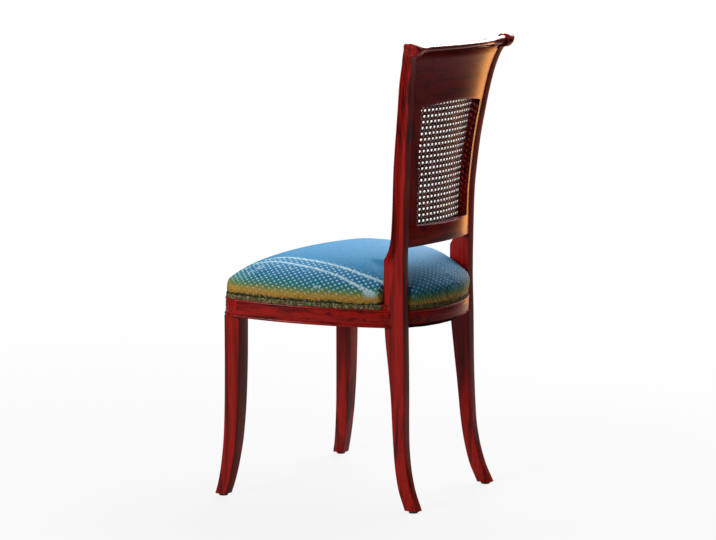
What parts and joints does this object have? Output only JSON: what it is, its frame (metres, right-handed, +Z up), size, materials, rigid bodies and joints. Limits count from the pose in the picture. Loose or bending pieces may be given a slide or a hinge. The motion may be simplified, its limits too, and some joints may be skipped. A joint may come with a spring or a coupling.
{
  "type": "dining chair",
  "caption": "Upholstered dining side chair with a flared, bowed cane back, rolled crest rail, scroll-topped stiles, shaped seat rails and splayed sabre legs",
  "frame": {"origin": "middle of the chair's bounding box in plan, on the floor under the glides", "axes": "+Z up; the chair faces -Y, so its back is towards +Y; +X is the sitter's left and the chair is symmetric across X = 0"},
  "size_m": [0.474, 0.4921, 0.93],
  "materials": {
    "mahogany": "red-stained mahogany under a glossy varnish",
    "blocks": "plain unfinished beech",
    "screws": "zinc-plated steel, dull",
    "cane": "woven cane, aged honey colour, thin clear varnish",
    "webbing": "woven jute with a plain weave",
    "tacks": "blued steel",
    "foam": "open-cell upholstery foam",
    "upholstery": "woven blue cloth with pale stripes and small dots, green to gold at its lower edge",
    "braid": "woven olive-brown gimp braid",
    "dust_cloth": "thin black cambric",
    "glides": "dark nylon, pressed into the feet"
  },
  "bodies": {
    "root": {"rear_leg_left": "mahogany", "rear_leg_right": "mahogany", "front_leg_left": "mahogany", "front_leg_right": "mahogany", "seat_rail_front": "mahogany", "seat_rail_left": "mahogany", "seat_rail_right": "mahogany", "seat_rail_rear": "mahogany", "corner_block_front_left": "blocks", "corner_block_front_right": "blocks", "corner_block_rear_left": "blocks", "corner_block_rear_right": "blocks", "corner_block_screws": "screws", "seat_dowels": "blocks", "back_dowels": "blocks", "crest_rail": "mahogany", "lower_back_rail": "mahogany", "back_side_member_left": "mahogany", "back_side_member_right": "mahogany", "cane_panel": "cane", "cane_spline": "cane", "seat_webbing": "webbing", "webbing_tacks": "tacks", "seat_foam": "foam", "seat_cover": "upholstery", "gimp_braid": "braid", "dust_cover": "dust_cloth", "foot_glides": "glides"}
  },
  "joints": []
}
